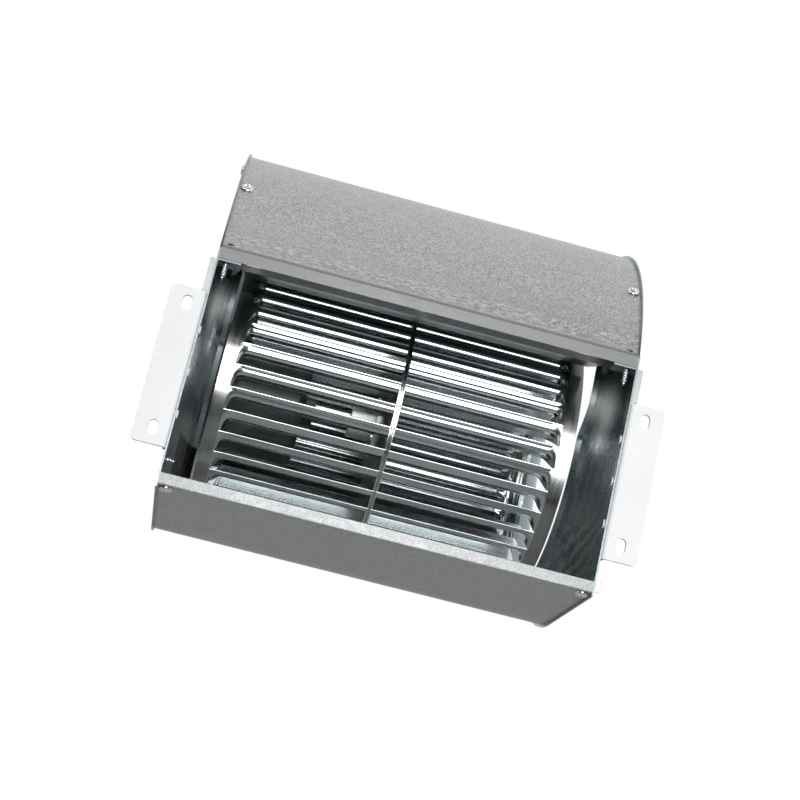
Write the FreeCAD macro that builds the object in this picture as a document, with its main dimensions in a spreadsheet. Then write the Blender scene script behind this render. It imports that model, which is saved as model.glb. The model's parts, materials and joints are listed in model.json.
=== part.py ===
import FreeCAD, Part
import os
from math import acos, asin, atan2, cos, degrees, hypot, pi, radians, sin, sqrt

import Sketcher
from FreeCAD import Placement, Rotation, Vector

# Double-inlet centrifugal blower of formed sheet steel, held by two slotted brackets.
# X runs along the wheel's axis, Y into the housing from the outlet, Z up.
# The origin is the middle of the outlet's lower edge. All lengths are millimetres.

# Driving sizes: alias, value, what it is
SIZES = [
    ("OutletWidth", 248.0, "over both side plates"),
    ("OutletHeight", 127.0, "between the lower flange and the lip"),
    ("AxisDepth", 140.0, "wheel axis behind the outlet"),
    ("AxisHeight", 93.0, "wheel axis above the outlet's lower edge"),
    ("SideGauge", 1.0, "sheet of the side plates"),
    ("WrapGauge", 0.9, "sheet of the wrap and the cover"),
    ("TopRadius", 144.0, "rim of the side plates over the wheel"),
    ("BackRadius", 110.0, "rim at the back"),
    ("FloorRadius", 150.0, "rim under the wheel"),
    ("FloorDrop", 105.0, "lowest point of the rim below the axis"),
    ("FloorInset", 32.0, "lowest point of the rim before the axis"),
    ("RimProud", 1.7, "rim outside the wrap"),
    ("FlangeHeight", 6.5, "upturned flange under the outlet"),
    ("LipHeight", 6.5, "upright lip over the outlet"),
    ("CoverEndAngle", 84.0, "rear edge of the cover, from the horizontal"),
    ("SeamGap", 0.3, "between the cover and the wrap"),
    ("DrawDepth", 15.0, "depth of the drawn inlets"),
    ("DrawRadius", 132.0, "outer radius of the drawn inlets"),
    ("DrawBorder", 6.0, "flat border outside the drawn inlets"),
    ("ThroatRadius", 79.0, "lower half of the inlet opening"),
    ("SlotFront", 94.5, "upper half of the opening, towards the outlet"),
    ("SlotBack", 84.0, "upper half of the opening, towards the back"),
    ("SlotTop", 105.0, "top of the opening over the axis"),
    ("ShoulderHeight", 20.0, "height of the step from throat to slot"),
    ("EdgeFlange", 3.2, "outward flanges of the side plates' front edges"),
    ("TabLength", 13.0, "inward tabs of the side plates"),
    ("TabDepth", 12.0, "depth of the inward tabs"),
    ("CutoffReturn", 12.0, "level front of the cut-off strip"),
    ("CutoffDepth", 68.0, "nose of the cut-off strip behind the outlet"),
    ("CutoffRise", 15.0, "nose of the cut-off strip above its front"),
    ("CutoffNose", 3.0, "radius of the cut-off nose"),
    ("CutoffInset", 16.5, "sides of the cut-off strip inside the side plates"),
    ("BracketReach", 20.0, "brackets outside the side plates"),
    ("BracketBase", 13.4, "lower edge of the brackets"),
    ("BracketLength", 91.7, "height of the brackets"),
    ("BracketGauge", 1.5, "sheet of the brackets"),
    ("BracketLeg", 17.0, "leg along the side plate"),
    ("BracketCorner", 3.0, "outer corner radius"),
    ("BracketStand", 0.3, "brackets before the side plates' front edges"),
    ("BracketBend", 1.2, "inner bend radius"),
    ("SlotInset", 10.7, "slot centres from the bracket's outer edge"),
    ("SlotSpacing", 73.4, "between the two slots of a bracket"),
    ("SlotWidth", 5.7, "slot width"),
    ("SlotLength", 9.2, "slot length, end to end"),
    ("ClinchSpacing", 25.0, "between the clinch joints"),
    ("ClinchRadius", 2.6, "head of a clinch joint"),
    ("ClinchSetback", 7.0, "clinch joints behind the bracket's face"),
    ("WheelRadius", 80.0, "blade tips"),
    ("BladeCount", 36.0, "blades of each drum"),
    ("FirstBlade", 5.5, "degrees of a front blade above the axis level"),
    ("DrumReach", 99.7, "visible end of the blades from the disc's plane"),
    ("StripGauge", 0.6, "sheet of the blade strip"),
    ("HoopWidth", 5.0, "plain edge of the blade strip"),
    ("BladeInner", 66.0, "inner edge of the blades"),
    ("FoldRadius", 5.0, "fold of a blade, middle of the sheet"),
    ("TipLand", 3.4, "straight tip of a blade past its fold"),
    ("RingWidth", 8.0, "end rings along the axis"),
    ("RingGauge", 0.8, "sheet of the end rings"),
    ("RingLip", 5.0, "inward lip of the end rings"),
    ("DiscGauge", 1.2, "sheet of the centre disc"),
    ("DiscRim", 3.0, "folded rim of the centre disc, along the axis"),
    ("DishRadius", 46.0, "start of the disc's pressed step"),
    ("DishDepth", 3.0, "depth of the disc's pressed step"),
    ("HubRadius", 13.0, "hub barrel"),
    ("HubLength", 18.0, "hub along the axis"),
    ("HubFlange", 22.0, "flange radius of the hub"),
    ("HubFlangeWidth", 2.5, "flange thickness of the hub"),
    ("HubRivetCircle", 17.5, "radius of the rivet circle"),
    ("HubRivetRadius", 1.6, "shank of a hub rivet"),
    ("HubRivetHead", 3.0, "head of a hub rivet"),
    ("HubRivetHeight", 1.3, "height of a rivet head"),
    ("ShaftRadius", 6.0, "motor shaft"),
    ("ShaftPast", 2.0, "shaft beyond the disc"),
    ("BoreFit", 0.03, "clearance round the shaft"),
    ("SetScrewRadius", 2.5, "hub set screw"),
    ("SetScrewPlace", 11.7, "set screw from the hub's face"),
    ("MotorRadius", 42.0, "motor body"),
    ("MotorInner", 52.0, "motor nose from the disc's plane"),
    ("MotorNose", 14.0, "round recess of the motor's nose"),
    ("MotorEdge", 6.0, "rounded edges of the motor"),
    ("MotorSocket", 42.0, "shaft's bore inside the motor"),
    ("CapWidth", 12.0, "motor end cap along the axis"),
    ("CapStep", 3.0, "end cap inside the motor body"),
    ("SpiderGauge", 2.0, "sheet of the motor spider"),
    ("SpiderRing", 34.0, "round middle of the spider"),
    ("SpiderArm", 16.0, "width of the spider's arms"),
    ("SpiderFoot", 5.3, "widened end of an arm round its screw"),
    ("ArmFront", 215.0, "spider arm towards the outlet, degrees from the rear"),
    ("ArmTop", 100.0, "upper spider arm, degrees from the rear"),
    ("ArmBack", 10.0, "rear spider arm, degrees from the rear"),
    ("FootFront", 140.0, "foot of the front arm from the axis"),
    ("FootTop", 136.0, "foot of the upper arm from the axis"),
    ("FootBack", 106.0, "foot of the rear arm from the axis"),
    ("ScrewRadius", 1.9, "sheet-metal screw shank"),
    ("ScrewHead", 3.8, "sheet-metal screw head"),
    ("ScrewHeadHeight", 2.4, "height of a screw head"),
    ("ScrewLength", 12.0, "upper corner screws under their heads"),
    ("ShortScrew", 8.4, "all other screws under their heads"),
    ("ScrewFit", 0.1, "clearance round a screw"),
    ("ScrewInset", 5.5, "corner screws inside the side plates' outer faces"),
    ("ScrewSetback", 5.5, "corner screws behind the outlet"),
    ("CoverScrewAngle", 38.5, "cover screws above the horizontal, from the front"),
]


def words(number):
    """Text of a number or a size for an expression."""
    return number.text if isinstance(number, Size) else repr(float(number))


class Size(float):
    """A value of the sheet that keeps the expression it comes from."""

    def __new__(cls, value, text):
        size = super().__new__(cls, value)
        size.text = text
        return size

    def __add__(self, other):
        return Size(float(self) + float(other), f"({self.text} + {words(other)})")

    def __radd__(self, other):
        return Size(float(other) + float(self), f"({words(other)} + {self.text})")

    def __sub__(self, other):
        return Size(float(self) - float(other), f"({self.text} - {words(other)})")

    def __rsub__(self, other):
        return Size(float(other) - float(self), f"({words(other)} - {self.text})")

    def __mul__(self, other):
        return Size(float(self) * float(other), f"({self.text} * {words(other)})")

    def __rmul__(self, other):
        return Size(float(other) * float(self), f"({words(other)} * {self.text})")

    def __truediv__(self, other):
        return Size(float(self) / float(other), f"({self.text} / {words(other)})")

    def __neg__(self):
        return Size(-float(self), f"(-{self.text})")


def root(value):
    """Square root of a size."""
    return Size(sqrt(value), f"sqrt({words(value)})")


def sine(angle):
    """Sine of an angle in degrees."""
    return Size(sin(radians(angle)), f"sin({words(angle)})")


def cosine(angle):
    """Cosine of an angle in degrees."""
    return Size(cos(radians(angle)), f"cos({words(angle)})")


doc = FreeCAD.newDocument("Blower")
sheet = doc.addObject("Spreadsheet::Sheet", "Sizes")
for row, (alias, value, meaning) in enumerate(SIZES, start=1):
    sheet.set(f"A{row}", str(value))
    sheet.setAlias(f"A{row}", alias)
    sheet.set(f"B{row}", meaning)
doc.recompute()


def size(alias):
    """The named value of the sheet."""
    return Size(float(sheet.get(alias)), f"Sizes.{alias}")


nodes = []


def bind(thing, values):
    """Ties properties to the sheet; plain numbers are set as they are."""
    for name, value in values.items():
        if isinstance(value, Size):
            thing.setExpression(name, value.text)
        else:
            setattr(thing, name, value)


def place(thing, x=0.0, y=0.0, z=0.0, turn=None):
    """Places an object, its position tied to the sheet."""
    rotation = turn if turn is not None else Rotation()
    thing.Placement = Placement(Vector(float(x), float(y), float(z)), rotation)
    for axis, value in (("x", x), ("y", y), ("z", z)):
        if isinstance(value, Size):
            thing.setExpression(f"Placement.Base.{axis}", value.text)


def keep(thing, label):
    """Names a sub-part and marks it for export."""
    thing.Label = label
    nodes.append(thing)
    return thing


def cylinder(name, radius, height, **where):
    """Cylinder along its own Z."""
    tool = doc.addObject("Part::Cylinder", name)
    bind(tool, {"Radius": radius, "Height": height})
    place(tool, **where)
    return tool


def box(name, length, width, height, **where):
    """Box from its lower corner."""
    tool = doc.addObject("Part::Box", name)
    bind(tool, {"Length": length, "Width": width, "Height": height})
    place(tool, **where)
    return tool


def fuse(name, shapes):
    """Union of several objects."""
    whole = doc.addObject("Part::MultiFuse", name)
    whole.Shapes = shapes
    return whole


def cut(name, base, tool):
    """Base without tool."""
    rest = doc.addObject("Part::Cut", name)
    rest.Base = base
    rest.Tool = tool
    return rest


def group(name, shapes):
    """Separate solids in one object."""
    held = doc.addObject("Part::Compound", name)
    held.Links = shapes
    return held


def mirrored(name, source):
    """The same piece on the other side of the middle plane."""
    twin = doc.addObject("Part::Mirroring", name)
    twin.Source = source
    twin.Normal = Vector(1, 0, 0)
    return twin


ALONG_X = Rotation(Vector(0, 1, 0), 90)
SECTION = Rotation(Vector(1, 1, 1), 120)


def pin(sketch, edge, end, x, y):
    """Ties an end of an edge to a position."""
    for kind, value in (("DistanceX", x), ("DistanceY", y)):
        index = sketch.addConstraint(Sketcher.Constraint(kind, edge, end, float(value)))
        if isinstance(value, Size):
            sketch.setExpression(f"Constraints[{index}]", value.text)


def nearest_end(sketch, edge, point):
    """The end of an edge that lies at a point: 1 for its start, 2 for its end."""
    curve = sketch.Geometry[edge]
    near = (curve.StartPoint - point).Length < (curve.EndPoint - point).Length
    return 1 if near else 2


def draw(sketch, corners, closed=True):
    """Draws a chain of lines and arcs through corners (x, y) or (x, y, radius, centre).

    A corner with a radius is reached along an arc of that radius about the centre.
    """
    points = [Vector(float(c[0]), float(c[1]), 0) for c in corners]
    edges = []
    spans = list(range(1, len(corners)))
    if closed:
        spans.append(0)
    for index in spans:
        start = points[index - 1]
        end = points[index]
        corner = corners[index]
        if len(corner) == 2:
            edges.append((sketch.addGeometry(Part.LineSegment(start, end)), start, end))
            continue
        middle = Vector(float(corner[3][0]), float(corner[3][1]), 0)
        bulge = (start + end) * 0.5 - middle
        if bulge.Length < float(corner[2]) / 1000:
            bulge = Vector(end.y - start.y, start.x - end.x, 0)
        bulge.normalize()
        ends = [start, end]
        if (start - middle).cross(end - middle).z < 0:
            ends.reverse()
        edge = sketch.addGeometry(Part.Arc(ends[0], middle + bulge * float(corner[2]), ends[1]))
        edges.append((edge, start, end))
        kind, value = ("DistanceX", corner[3][0])
        if abs(bulge.x) <= abs(bulge.y):
            kind, value = ("DistanceY", corner[3][1])
        index_c = sketch.addConstraint(Sketcher.Constraint(kind, edge, 3, float(value)))
        if isinstance(value, Size):
            sketch.setExpression(f"Constraints[{index_c}]", value.text)
    joints = zip(edges, edges[1:] + edges[:1]) if closed else zip(edges, edges[1:])
    for (first, _, meet), (second, start, _) in joints:
        ends = (nearest_end(sketch, first, meet), nearest_end(sketch, second, start))
        sketch.addConstraint(Sketcher.Constraint("Coincident", first, ends[0], second, ends[1]))
    for (edge, _, end), index in zip(edges, spans):
        pin(sketch, edge, nearest_end(sketch, edge, end), corners[index][0], corners[index][1])
    if not closed:
        edge, start, _ = edges[0]
        pin(sketch, edge, nearest_end(sketch, edge, start), corners[0][0], corners[0][1])


def plane(body, role):
    """An origin plane or axis of a body."""
    return [part for part in body.Origin.OriginFeatures if part.Role == role][0]


def sketch_on(body, role, name, lift=0.0):
    """An empty sketch on an origin plane of a body."""
    sketch = body.newObject("Sketcher::SketchObject", name)
    sketch.AttachmentSupport = [(plane(body, role), "")]
    sketch.MapMode = "FlatFace"
    if isinstance(lift, Size):
        sketch.setExpression("AttachmentOffset.Base.z", lift.text)
    return sketch


def bent_strip(name, corners, gauge, width):
    """Sheet bent along X: a section path thickened to one side and extruded both ways."""
    path = doc.addObject("Sketcher::SketchObject", name + "Path")
    path.Placement = Placement(Vector(), SECTION)
    draw(path, corners, closed=False)
    skin = doc.addObject("Part::Offset2D", name + "Skin")
    skin.Source = path
    skin.Mode = "Skin"
    skin.Fill = True
    bind(skin, {"Value": gauge})
    strip = doc.addObject("Part::Extrusion", name + "Strip")
    strip.Base = skin
    strip.DirMode = "Custom"
    strip.Dir = Vector(1, 0, 0)
    strip.Symmetric = True
    strip.Solid = True
    bind(strip, {"LengthFwd": width})
    return strip


def turned(name, corners, role="XY_Plane"):
    """Body revolved about its own X axis from a section in its XY plane."""
    body = doc.addObject("PartDesign::Body", name)
    section = sketch_on(body, role, name + "Section")
    draw(section, corners)
    spin = body.newObject("PartDesign::Revolution", name + "Spin")
    spin.Profile = section
    spin.ReferenceAxis = (section, ["H_Axis"])
    spin.Angle = 360.0
    body.Tip = spin
    return body


half_width = size("OutletWidth") / 2
inside = half_width - size("SideGauge")
axis_y = size("AxisDepth")
axis_z = size("AxisHeight")
wrap = size("WrapGauge")
proud = size("RimProud")
fit = size("ScrewFit")

# The housing's outline: a level front run, a floor arc, a back arc and a top arc
# that is concentric with the wheel. Each arc is tangent to the next.
floor_y = axis_y - size("FloorInset")
floor_z = axis_z - size("FloorDrop")
floor_centre = (floor_y, floor_z + size("FloorRadius"))
top_centre = (axis_y, axis_z)


def back_centre():
    """Centre of the back arc, tangent inside both the floor arc and the top arc."""
    from_floor = size("FloorRadius") - size("BackRadius")
    from_top = size("TopRadius") - size("BackRadius")
    dy = top_centre[0] - floor_centre[0]
    dz = top_centre[1] - floor_centre[1]
    apart = hypot(dy, dz)
    along = (from_floor ** 2 - from_top ** 2 + apart ** 2) / (2 * apart)
    aside = sqrt(from_floor ** 2 - along ** 2)
    return (floor_centre[0] + (along * dy - aside * dz) / apart,
            floor_centre[1] + (along * dz + aside * dy) / apart)


back = back_centre()


def on_line(start, end, radius):
    """The point at a radius from start, on the line through start and end."""
    reach = hypot(end[0] - start[0], end[1] - start[1])
    return (start[0] + (end[0] - start[0]) * radius / reach,
            start[1] + (end[1] - start[1]) * radius / reach)


def scroll(inset, angle):
    """Section path from the floor's lowest point to the top arc at an angle."""
    floor_r = size("FloorRadius") - inset
    back_r = size("BackRadius") - inset
    top_r = size("TopRadius") - inset
    low = on_line(floor_centre, back, floor_r)
    high = on_line(top_centre, back, top_r)
    end = (axis_y + top_r * cos(radians(angle)), axis_z + top_r * sin(radians(angle)))
    return [
        (floor_y, floor_z + inset),
        (low[0], low[1], floor_r, floor_centre),
        (high[0], high[1], back_r, back),
        (end[0], end[1], top_r, top_centre),
    ]


def edges_of(corners):
    """Plain edges through corners, as in a sketch."""
    made = []
    for before, corner in zip(corners, corners[1:]):
        start = Vector(0, float(before[0]), float(before[1]))
        end = Vector(0, float(corner[0]), float(corner[1]))
        if len(corner) == 2:
            made.append(Part.LineSegment(start, end).toShape())
            continue
        middle = Vector(0, float(corner[3][0]), float(corner[3][1]))
        bulge = ((start + end) * 0.5 - middle).normalize()
        made.append(Part.Arc(start, middle + bulge * float(corner[2]), end).toShape())
    return made


lip_base = size("OutletHeight")
lip_top = lip_base + size("LipHeight")


def rim_front():
    """Angle at which the rim's top arc ends, from the rear.

    The arc runs on to the outlet, or turns level with the lip if its radius falls short of the outlet.
    """
    reach = float(axis_y - proud)
    radius = float(size("TopRadius"))
    if radius > reach:
        return 180 - degrees(acos(reach / radius))
    return 180 - degrees(asin(float(lip_top - axis_z) / radius))


def rim_face():
    """The side plate's flat outline at X = 0."""
    corners = scroll(0.0, rim_front())
    front = 0.0
    start = (front, float(corners[-1][1]))
    outline = corners + [start, (front, -float(size("FlangeHeight") + proud)), corners[0]]
    wire = Part.Wire(Part.__sortEdges__(edges_of(outline)))
    return Part.Face(wire)


def rim_radius(angle):
    """Distance from the wheel axis to the rim in a direction from the rear, in radians."""
    far = 2 * float(size("TopRadius"))
    start = Vector(0, float(axis_y), float(axis_z))
    ray = Part.LineSegment(start, start + Vector(0, far * cos(angle), far * sin(angle))).toShape()
    return ray.common(rim).Length


rim = rim_face()
OPENING_POINTS = 16


def opening(grow):
    """Points round the inlet opening about the axis: half circle below, arched slot above."""
    throat = float(size("ThroatRadius")) + grow
    front = float(size("SlotFront")) + grow
    rear = float(size("SlotBack")) + grow
    top = float(size("SlotTop")) + grow
    shoulder = float(size("ShoulderHeight"))
    spring = 2 * shoulder
    middle = (rear - front) / 2
    half = (rear + front) / 2
    points = []
    for step in range(OPENING_POINTS + 1):
        turn = pi + pi * step / OPENING_POINTS
        points.append((throat * cos(turn), throat * sin(turn)))
    points.append(((throat + rear) / 2, shoulder / 2))
    points.append((rear, shoulder))
    for step in range(OPENING_POINTS + 1):
        turn = pi * step / OPENING_POINTS
        points.append((middle + half * cos(turn), spring + (top - spring) * sin(turn)))
    points.append((-front, shoulder))
    points.append((-(throat + front) / 2, shoulder / 2))
    return points


def draw_edge(points):
    """Outer edge of the drawn inlet, in the same directions from the axis."""
    cap = float(size("DrawRadius"))
    border = float(size("DrawBorder"))
    edge = []
    for y, z in points:
        angle = atan2(z, y)
        radius = min(cap, rim_radius(angle) - border)
        edge.append((radius * cos(angle), radius * sin(angle)))
    return edge


DRAW_SECTIONS = 6
DRAW_START = radians(22)


def draw_solid(outer, grow, depth):
    """Drawn inlet as a solid: closed sections along a quarter ellipse, from rim to throat."""
    inner = opening(grow)
    face = float(inside) if grow else float(half_width)
    wires = []
    for step in range(DRAW_SECTIONS + 1):
        turn = DRAW_START + (pi / 2 - DRAW_START) * step / DRAW_SECTIONS
        x = face - depth * (1 - cos(turn) / cos(DRAW_START))
        share = (sin(turn) - sin(DRAW_START)) / (1 - sin(DRAW_START))
        ring = []
        for (y0, z0), (y1, z1) in zip(outer, inner):
            y = y0 + (y1 - y0) * share
            z = z0 + (z1 - z0) * share
            ring.append(Vector(x, float(axis_y) + y, float(axis_z) + z))
        curve = Part.BSplineCurve()
        curve.interpolate(Points=ring, PeriodicFlag=True)
        wires.append(Part.Wire(curve.toShape()))
    return Part.makeLoft(wires, True, True)


# Positions of the screws
corner_x = half_width - size("ScrewInset")
corner_y = size("ScrewSetback")
cover_screw_turn = 180 - size("CoverScrewAngle")
cover_inner = size("TopRadius") - proud - wrap
tab_top = lip_base - size("SideGauge")
floor_front = -size("FlangeHeight") + wrap


def cover_screw_place(radius):
    """Centre of a cover screw at a radius from the wheel axis."""
    return axis_y + radius * cosine(cover_screw_turn), axis_z + radius * sine(cover_screw_turn)


bracket_top = size("BracketBase") + size("BracketLength")
bracket_middle = size("BracketBase") + size("BracketLength") / 2
bracket_outer = half_width + size("BracketReach")
bracket_face = -size("BracketGauge") - size("BracketStand")
clinch_y = bracket_face + size("ClinchSetback")

# Ends of the motor spider's arms: angle from the rear, distance from the axis
SPIDER_ARMS = [(float(size("Arm" + where)), size("Foot" + where)) for where in ("Front", "Top", "Back")]


def arm_end(angle, reach):
    """Middle of a spider foot."""
    return (float(axis_y) + float(reach) * cos(radians(angle)),
            float(axis_z) + float(reach) * sin(radians(angle)))


def plate_shape():
    """Right side plate: rim, drawn inlet, front flanges, tabs and screw holes."""
    gauge = float(size("SideGauge"))
    slab = rim.extrude(Vector(gauge, 0, 0))
    slab.translate(Vector(float(inside), 0, 0))
    edge = draw_edge(opening(0.0))
    metal = draw_solid(edge, gauge, float(size("DrawDepth")) - gauge)
    air = draw_solid(edge, 0.0, float(size("DrawDepth")))
    plate = slab.fuse(metal).cut(air)
    extra = []
    reach = float(size("EdgeFlange"))
    for low, high in ((float(floor_front), float(size("BracketBase")) - gauge),
                      (float(bracket_top) + gauge, float(tab_top))):
        flange = Part.makeBox(reach, gauge, high - low, Vector(float(half_width), 0, low))
        extra.append(flange)
    inward = float(size("TabLength"))
    deep = float(size("TabDepth"))
    for base in (float(tab_top), float(floor_front)):
        extra.append(Part.makeBox(inward, deep, gauge, Vector(float(inside) - inward, gauge, base)))
    seat = Part.makeBox(inward, deep, gauge, Vector(float(inside) - inward, -deep / 2, -gauge))
    y, z = cover_screw_place(root(cover_inner * cover_inner - size("TabDepth") * size("TabDepth") / 4))
    turn = Rotation(Vector(1, 0, 0), float(cover_screw_turn) - 90)
    seat.Placement = Placement(Vector(0, float(y), float(z)), turn)
    extra.append(seat)
    plate = plate.multiFuse(extra).removeSplitter()
    return plate


def screw_hole(y, z, turn):
    """Clearance hole for a sheet-metal screw."""
    length = float(size("ScrewLength"))
    radius = float(size("ScrewRadius") + fit)
    hole = Part.makeCylinder(radius, 2 * length, Vector(0, 0, -length))
    hole.Placement = Placement(Vector(float(corner_x), float(y), float(z)), turn)
    return hole


def screw_holes():
    """Holes of one side for the corner screws and the cover screw."""
    y, z = cover_screw_place(cover_inner)
    radial = Rotation(Vector(1, 0, 0), float(cover_screw_turn) - 90)
    upright = Rotation()
    return Part.makeCompound([
        screw_hole(y, z, radial),
        screw_hole(corner_y, tab_top, upright),
        screw_hole(corner_y, floor_front, upright),
    ])


def clinch_holes():
    """Holes of one side for the clinch joints."""
    holes = []
    reach = 2 * float(size("SideGauge") + size("BracketGauge"))
    for step in (-1, 0, 1):
        z = float(bracket_middle) + step * float(size("ClinchSpacing"))
        start = Vector(float(half_width) - reach, float(clinch_y), z)
        holes.append(Part.makeCylinder(float(size("ClinchRadius")) / 2, 2 * reach, start, Vector(1, 0, 0)))
    return Part.makeCompound(holes)


def spider_holes():
    """Holes for the spider's screws, on the left side."""
    holes = []
    length = float(size("ScrewLength"))
    for angle, reach in SPIDER_ARMS:
        y, z = arm_end(angle, reach)
        start = Vector(-float(half_width) - length / 2, y, z)
        holes.append(Part.makeCylinder(float(size("ScrewRadius") + fit), length, start, Vector(1, 0, 0)))
    return Part.makeCompound(holes)


across = Vector(1, 0, 0)
right_shape = plate_shape().cut(screw_holes()).cut(clinch_holes())
right_plate = doc.addObject("Part::Feature", "SidePlateRight")
right_plate.Shape = right_shape
keep(right_plate, "side_plate_right")
left_plate = doc.addObject("Part::Feature", "SidePlateLeft")
left_plate.Shape = right_shape.mirror(Vector(), across).cut(spider_holes())
keep(left_plate, "side_plate_left")

both_holes = doc.addObject("Part::Feature", "ScrewHoles")
both_holes.Shape = Part.makeCompound([screw_holes(), screw_holes().mirror(Vector(), across)])

# Wrap: upturned flange, floor, floor arc, back arc and the rear of the top arc
sheet_width = inside * 2
sheet_inset = proud
seam_angle = float(size("CoverEndAngle"))
gap_angle = degrees(float(size("SeamGap")) / float(size("TopRadius")))
wrap_path = [(wrap * 1.0, 0.0), (wrap * 1.0, floor_front)]
wrap_path += scroll(sheet_inset + wrap, seam_angle - gap_angle)
wrap_strip = bent_strip("Wrap", wrap_path, wrap, sheet_width)
keep(cut("WrapCut", wrap_strip, both_holes), "scroll_wrap")

# Cover: top arc over the wheel with a short joggle and an upright lip over the outlet
joggle_rise = lip_top + 4 * wrap - axis_z
joggle_y = axis_y - root(cover_inner * cover_inner - joggle_rise * joggle_rise)
cover_end = size("CoverEndAngle")
cover_path = [
    (axis_y + cover_inner * cosine(cover_end), axis_z + cover_inner * sine(cover_end)),
    (joggle_y, axis_z + joggle_rise, cover_inner, top_centre),
    (wrap, lip_top),
    (wrap, lip_base),
]
cover_strip = bent_strip("Cover", cover_path, wrap, sheet_width)
keep(cut("CoverCut", cover_strip, both_holes), "top_cover")

# Cut-off strip: level return behind the lip, then a slope up to a curled nose by the wheel
return_y = size("CutoffReturn")
return_z = lip_base + wrap
run = size("CutoffDepth") - return_y
slope = root(run * run + size("CutoffRise") * size("CutoffRise"))
lean_y = run / slope
lean_z = size("CutoffRise") / slope
curl = size("CutoffNose") - wrap
nose_y = return_y + run
nose_z = return_z + size("CutoffRise")
curl_centre = (nose_y - curl * lean_z, nose_z + curl * lean_y)
cutoff_path = [
    (wrap, return_z),
    (return_y, return_z),
    (nose_y, nose_z),
    (curl_centre[0] + curl * lean_y, curl_centre[1] + curl * lean_z, curl, curl_centre),
    (curl_centre[0] - curl * lean_z, curl_centre[1] + curl * lean_y, curl, curl_centre),
]
cutoff_strip = bent_strip("Cutoff", cutoff_path, wrap, sheet_width - size("SeamGap"))
side_room = size("CutoffInset") + wrap
room_y = size("CutoffDepth") + 2 * size("CutoffNose")
cutoff_sides = group("CutoffSides", [
    box("CutoffRoomRight", side_room, room_y, axis_z, x=half_width - size("CutoffInset"),
        y=return_y + wrap, z=lip_base - wrap),
    box("CutoffRoomLeft", side_room, room_y, axis_z, x=-half_width - wrap,
        y=return_y + wrap, z=lip_base - wrap),
])
cutoff_trim = cut("CutoffTrim", cutoff_strip, cutoff_sides)
keep(cut("CutoffCut", cutoff_trim, both_holes), "cutoff_plate")

# Brackets: flat slotted leg facing forward, second leg along the side plate
gauge = size("BracketGauge")
bend = size("BracketBend")
bend_centre = (half_width + gauge + bend, bracket_face + gauge + bend)
bracket = doc.addObject("PartDesign::Body", "Bracket")
angle_section = sketch_on(bracket, "XY_Plane", "BracketSection", size("BracketBase"))
draw(angle_section, [
    (bracket_outer, bracket_face),
    (bracket_outer, bracket_face + gauge),
    (bend_centre[0], bracket_face + gauge),
    (half_width + gauge, bend_centre[1], bend, bend_centre),
    (half_width + gauge, bracket_face + size("BracketLeg")),
    (half_width, bracket_face + size("BracketLeg")),
    (half_width, bend_centre[1]),
    (bend_centre[0], bracket_face, bend + gauge, bend_centre),
])
bracket_pad = bracket.newObject("PartDesign::Pad", "BracketPad")
bracket_pad.Profile = angle_section
bind(bracket_pad, {"Length": size("BracketLength")})
doc.recompute()
corner_edges = [f"Edge{number}" for number, edge in enumerate(bracket_pad.Shape.Edges, start=1)
                if abs(edge.Length - gauge) < 1e-6 and abs(edge.CenterOfMass.x - bracket_outer) < 1e-6]
corners = bracket.newObject("PartDesign::Fillet", "BracketCorners")
corners.Base = (bracket_pad, corner_edges)
bind(corners, {"Radius": size("BracketCorner")})
slot_sketch = sketch_on(bracket, "XZ_Plane", "SlotOutlines")
slot_r = size("SlotWidth") / 2
slot_half = size("SlotLength") / 2 - slot_r
slot_x = bracket_outer - size("SlotInset")
for side in (-1, 1):
    slot_z = bracket_middle + side * size("SlotSpacing") / 2
    draw(slot_sketch, [
        (slot_x - slot_r, slot_z - slot_half),
        (slot_x + slot_r, slot_z - slot_half, slot_r, (slot_x, slot_z - slot_half)),
        (slot_x + slot_r, slot_z + slot_half),
        (slot_x - slot_r, slot_z + slot_half, slot_r, (slot_x, slot_z + slot_half)),
    ])
slots = bracket.newObject("PartDesign::Pocket", "Slots")
slots.Profile = slot_sketch
slots.Type = 1
slots.Midplane = True
bracket.Tip = slots
clinch_tool = doc.addObject("Part::Feature", "ClinchHoles")
clinch_tool.Shape = clinch_holes()
bracket_right = keep(cut("BracketRight", bracket, clinch_tool), "mounting_bracket_right")
keep(mirrored("BracketLeft", bracket_right), "mounting_bracket_left")

# Clinch joints: a button outside the leg, its stem and a flat button inside the plate
clinches = []
stem_r = size("ClinchRadius") / 2
button = size("ClinchRadius") / 3
for side in (-1, 0, 1):
    clinch_z = bracket_middle + side * size("ClinchSpacing")
    name = f"Clinch{side + 2}"
    stack = size("SideGauge") + gauge
    parts = [
        cylinder(name + "Stem", stem_r, stack + button * 2, x=inside - button, y=clinch_y,
                 z=clinch_z, turn=ALONG_X),
        cylinder(name + "Outer", size("ClinchRadius"), button, x=half_width + gauge, y=clinch_y,
                 z=clinch_z, turn=ALONG_X),
        cylinder(name + "Inner", size("ClinchRadius"), button, x=inside - button, y=clinch_y,
                 z=clinch_z, turn=ALONG_X),
    ]
    joint = fuse(name, parts)
    clinches += [joint, mirrored(name + "Left", joint)]
keep(group("ClinchJoints", clinches), "clinch_joints")

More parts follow.
